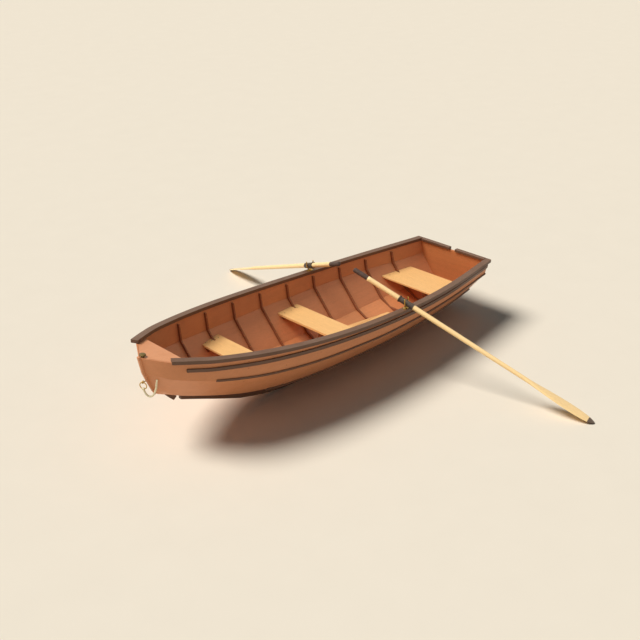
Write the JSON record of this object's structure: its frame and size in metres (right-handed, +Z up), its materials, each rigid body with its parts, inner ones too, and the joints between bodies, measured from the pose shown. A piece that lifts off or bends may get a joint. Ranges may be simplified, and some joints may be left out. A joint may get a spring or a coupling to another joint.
{
  "type": "rowing boat",
  "caption": "Wooden rowing boat with a multi-chine hull, ribs, thwarts, dark rails and rubbing strips, oars in swivelling rowlocks and a bow painter.",
  "frame": {"origin": "middle of the keel's flat underside, on the centre plane, at the level the boat stands on", "axes": "+X to the bow, +Y to port, +Z up"},
  "size_m": [3.7404, 4.3892, 0.8795],
  "materials": {
    "plank": "varnished",
    "transom_wood": "varnished",
    "dark_wood": "satin",
    "rib_wood": "satin",
    "light_wood": "satin",
    "oar_wood": "varnished",
    "grip": "matte",
    "tip": "painted",
    "collar": "matte",
    "rope": "matte",
    "bronze": "aged",
    "brass": "polished"
  },
  "bodies": {
    "boat": {"sheer_strake_port": "plank", "sheer_strake_starboard": "plank", "middle_strake_port": "plank", "middle_strake_starboard": "plank", "bottom_strake_port": "plank", "bottom_strake_starboard": "plank", "transom": "transom_wood", "stem": "plank", "keel": "dark_wood", "forefoot": "dark_wood", "rail_port": "dark_wood", "rail_starboard": "dark_wood", "transom_rail": "dark_wood", "upper_strips": "dark_wood", "lower_strips": "dark_wood", "bilge_strips": "dark_wood", "foredeck": "plank", "stem_cap": "bronze", "ribs": "rib_wood", "thwart_stern": "light_wood", "thwart_middle": "light_wood", "thwart_bow": "light_wood", "thwart_cleats": "rib_wood", "thwart_posts": "rib_wood", "floorboards": "light_wood", "rowlock_sockets": "brass", "stem_eye": "brass", "bow_ring": "brass", "painter": "rope"},
    "port_rowlock": {"rowlock_port": "brass"},
    "starboard_rowlock": {"rowlock_starboard": "brass"},
    "port_collar": {"collar_port": "collar"},
    "starboard_collar": {"collar_starboard": "collar"},
    "port_oar": {"oar_port": "oar_wood", "grip_port": "grip", "tip_port": "tip"},
    "starboard_oar": {"oar_starboard": "oar_wood", "grip_starboard": "grip", "tip_starboard": "tip"}
  },
  "joints": [
    {"name": "port_rowlock_swivel", "type": "hinge", "parent": "boat", "child": "port_rowlock", "pos_m": [-0.238, 0.57084, 0.66689], "axis": [0, 0, -1], "range_deg": [-28, 58]},
    {"name": "port_oar_dip", "type": "hinge", "parent": "port_rowlock", "child": "port_collar", "pos_m": [-0.238, 0.57084, 0.66689], "axis": [0.9681, 0.2504, 0], "range_deg": [0, 34]},
    {"name": "port_oar_feather", "type": "hinge", "parent": "port_collar", "child": "port_oar", "pos_m": [-0.238, 0.57084, 0.66689], "axis": [-0.2328, 0.9004, -0.3676], "range_deg": [-90, 90]},
    {"name": "starboard_rowlock_swivel", "type": "hinge", "parent": "boat", "child": "starboard_rowlock", "pos_m": [-0.238, -0.57084, 0.66689], "axis": [0, 0, 1], "range_deg": [-28, 58]},
    {"name": "starboard_oar_dip", "type": "hinge", "parent": "starboard_rowlock", "child": "starboard_collar", "pos_m": [-0.238, -0.57084, 0.66689], "axis": [-0.9681, 0.2504, 0], "range_deg": [0, 34]},
    {"name": "starboard_oar_feather", "type": "hinge", "parent": "starboard_collar", "child": "starboard_oar", "pos_m": [-0.238, -0.57084, 0.66689], "axis": [-0.2328, -0.9004, -0.3676], "range_deg": [-90, 90]}
  ]
}
